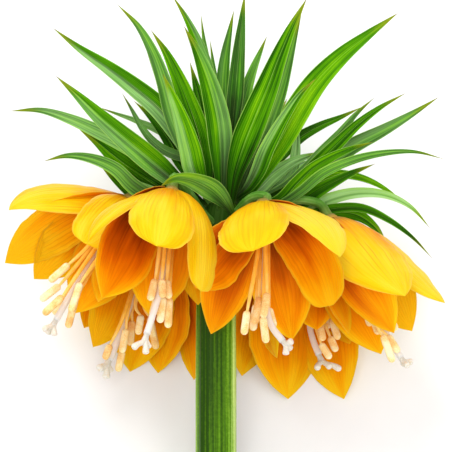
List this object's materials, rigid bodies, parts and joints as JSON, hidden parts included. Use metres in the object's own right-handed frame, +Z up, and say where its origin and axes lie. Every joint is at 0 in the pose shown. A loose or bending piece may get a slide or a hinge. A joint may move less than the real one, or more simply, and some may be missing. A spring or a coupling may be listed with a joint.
{
  "type": "crown imperial fritillary flower stem",
  "caption": "Cut flowering stem of a yellow crown imperial lying on a surface: nodding bells hang in a ring below a crown of strap-shaped leaves.",
  "frame": {"origin": "centre of the footprint on the surface the flower lies on", "axes": "+Y along the stem from its cut end towards the crown of leaves, +Z up from the surface, X across the flower head"},
  "size_m": [0.1656, 0.228, 0.1055],
  "materials": {
    "stem": "ribbed green stem, satin",
    "leaf": "thin leaf, satin, fine lengthwise veins",
    "young_leaf": "thin young leaf, satin",
    "flower_stalk": "smooth green stalk, satin",
    "petal": "thin petal, satin, fine lengthwise veins",
    "stamen": "cream, dry pollen surface",
    "pistil": "waxy off-white"
  },
  "bodies": {
    "root": {"stem": "stem", "leaf_front_01": "leaf", "leaf_front_02": "leaf", "leaf_front_03": "leaf", "leaf_front_04": "leaf", "leaf_front_05": "leaf", "leaf_front_06": "leaf", "leaf_front_07": "leaf", "leaf_front_08": "leaf", "leaf_front_09": "leaf", "leaf_front_10": "leaf", "leaf_left_01": "leaf", "leaf_left_02": "leaf", "leaf_left_03": "leaf", "leaf_left_04": "leaf", "leaf_left_05": "leaf", "leaf_left_06": "leaf", "leaf_left_07": "leaf", "leaf_right_01": "leaf", "leaf_right_02": "leaf", "leaf_right_03": "leaf", "leaf_right_04": "leaf", "leaf_right_05": "leaf", "leaf_right_06": "leaf", "leaf_right_07": "leaf", "leaf_right_08": "leaf", "leaf_right_09": "leaf", "leaf_right_10": "leaf", "leaf_right_11": "leaf", "leaf_right_12": "leaf", "leaf_right_13": "leaf", "leaf_back_01": "leaf", "leaf_back_02": "leaf", "leaf_back_03": "leaf", "leaf_back_04": "leaf", "inner_leaf_tuft": "young_leaf", "flower_1_stalk": "flower_stalk", "flower_1_petals": "petal", "flower_1_stamens": "stamen", "flower_1_pistil": "pistil", "flower_2_stalk": "flower_stalk", "flower_2_petals": "petal", "flower_2_stamens": "stamen", "flower_2_pistil": "pistil", "flower_3_stalk": "flower_stalk", "flower_3_petals": "petal", "flower_3_stamens": "stamen", "flower_3_pistil": "pistil", "flower_4_stalk": "flower_stalk", "flower_4_petals": "petal", "flower_4_stamens": "stamen", "flower_4_pistil": "pistil", "flower_5_stalk": "flower_stalk", "flower_5_petals": "petal", "flower_5_stamens": "stamen", "flower_5_pistil": "pistil", "flower_6_stalk": "flower_stalk", "flower_6_petals": "petal", "flower_6_stamens": "stamen", "flower_6_pistil": "pistil"}
  },
  "joints": []
}
